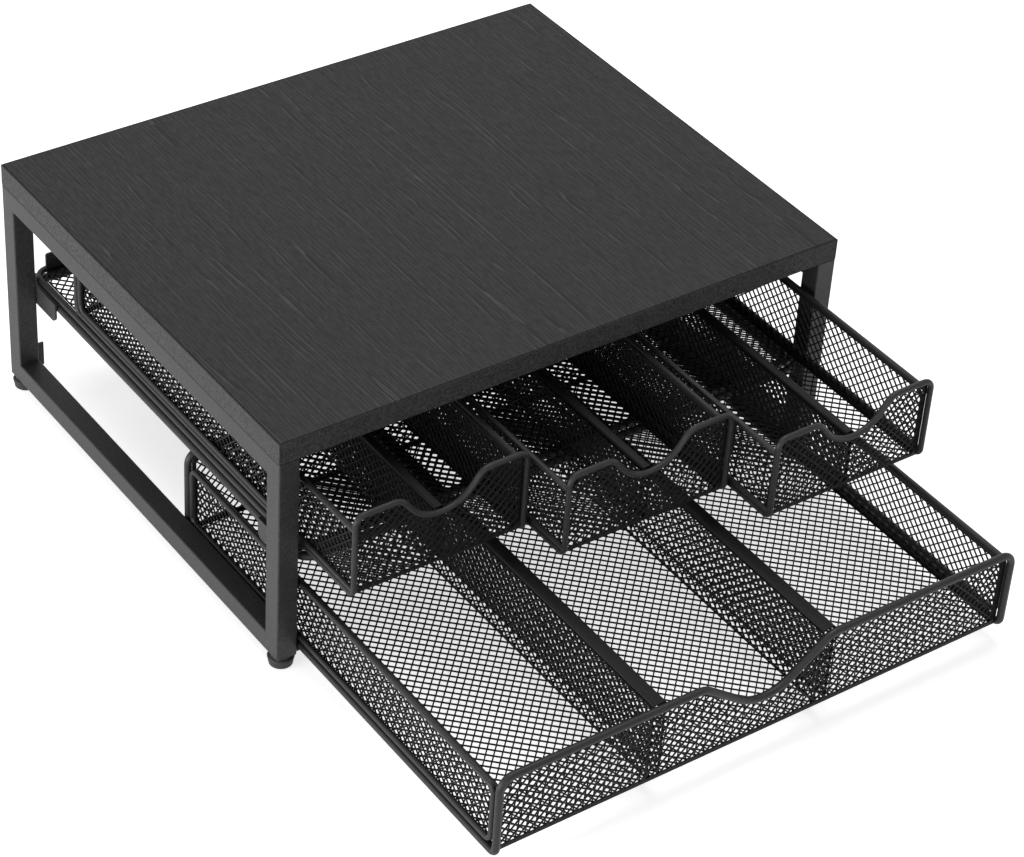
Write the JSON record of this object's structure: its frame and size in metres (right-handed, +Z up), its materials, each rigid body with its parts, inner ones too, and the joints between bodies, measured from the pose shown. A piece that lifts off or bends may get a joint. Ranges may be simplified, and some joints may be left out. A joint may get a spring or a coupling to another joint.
{
  "type": "coffee pod drawer",
  "caption": "Two-tier kitchen organiser: a dark laminated board on tube side frames over sliding wire-mesh drawers with scooped fronts, for coffee pods and tea.",
  "frame": {"origin": "on the table, in the middle of what the stand covers as it rests, with its drawers pulled out", "axes": "+Z up, -Y towards the user, the way the drawers pull out, +X to the user's right"},
  "size_m": [0.3826, 0.5056, 0.16],
  "materials": {
    "laminate": "satin black laminate with a wood-grain emboss, grain from front to back",
    "frame_paint": "satin black powder coat",
    "wire_paint": "satin black powder coat, a little thicker and rounder over the wire",
    "mesh_paint": "satin black powder coat",
    "rubber": "matt black rubber",
    "zinc_screw": "black oxide"
  },
  "bodies": {
    "stand": {"top_board": "laminate", "board_screws": "zinc_screw", "rubber_feet": "rubber", "left_front_post": "frame_paint", "left_rear_post": "frame_paint", "left_top_rail": "frame_paint", "left_bottom_rail": "frame_paint", "right_front_post": "frame_paint", "right_rear_post": "frame_paint", "right_top_rail": "frame_paint", "right_bottom_rail": "frame_paint", "left_drawer_rail": "frame_paint", "right_drawer_rail": "frame_paint", "left_front_bracket": "frame_paint", "left_rear_bracket": "frame_paint", "right_front_bracket": "frame_paint", "right_rear_bracket": "frame_paint", "shelf_rod_frame": "wire_paint", "shelf_wire_rim": "wire_paint", "shelf_mesh": "mesh_paint", "shelf_stop_angle": "frame_paint"},
    "left_drawer": {"left_drawer_wire": "wire_paint", "left_drawer_side_wires": "wire_paint", "left_drawer_front_mesh": "mesh_paint", "left_drawer_rear_mesh": "mesh_paint", "left_drawer_left_mesh": "mesh_paint", "left_drawer_right_mesh": "mesh_paint", "left_drawer_floor": "mesh_paint", "left_drawer_divider": "mesh_paint"},
    "middle_drawer": {"middle_drawer_wire": "wire_paint", "middle_drawer_side_wires": "wire_paint", "middle_drawer_front_mesh": "mesh_paint", "middle_drawer_rear_mesh": "mesh_paint", "middle_drawer_left_mesh": "mesh_paint", "middle_drawer_right_mesh": "mesh_paint", "middle_drawer_floor": "mesh_paint", "middle_drawer_divider": "mesh_paint"},
    "right_drawer": {"right_drawer_wire": "wire_paint", "right_drawer_side_wires": "wire_paint", "right_drawer_front_mesh": "mesh_paint", "right_drawer_rear_mesh": "mesh_paint", "right_drawer_left_mesh": "mesh_paint", "right_drawer_right_mesh": "mesh_paint", "right_drawer_floor": "mesh_paint", "right_drawer_divider": "mesh_paint"},
    "lower_drawer": {"lower_drawer_wire": "wire_paint", "lower_drawer_left_wire": "wire_paint", "lower_drawer_right_wire": "wire_paint", "lower_drawer_front_mesh": "mesh_paint", "lower_drawer_rear_mesh": "mesh_paint", "lower_drawer_left_mesh": "mesh_paint", "lower_drawer_right_mesh": "mesh_paint", "lower_drawer_floor": "mesh_paint", "lower_left_divider": "mesh_paint", "lower_right_divider": "mesh_paint"}
  },
  "joints": [
    {"name": "left_drawer_slide", "type": "slide", "parent": "stand", "child": "left_drawer", "axis": [0, -1, 0], "range_m": [-0.047, 0.183]},
    {"name": "middle_drawer_slide", "type": "slide", "parent": "stand", "child": "middle_drawer", "axis": [0, -1, 0], "range_m": [-0.077, 0.153]},
    {"name": "right_drawer_slide", "type": "slide", "parent": "stand", "child": "right_drawer", "axis": [0, -1, 0], "range_m": [-0.11, 0.12]},
    {"name": "lower_drawer_slide", "type": "slide", "parent": "stand", "child": "lower_drawer", "axis": [0, -1, 0], "range_m": [-0.182, 0.048]}
  ]
}
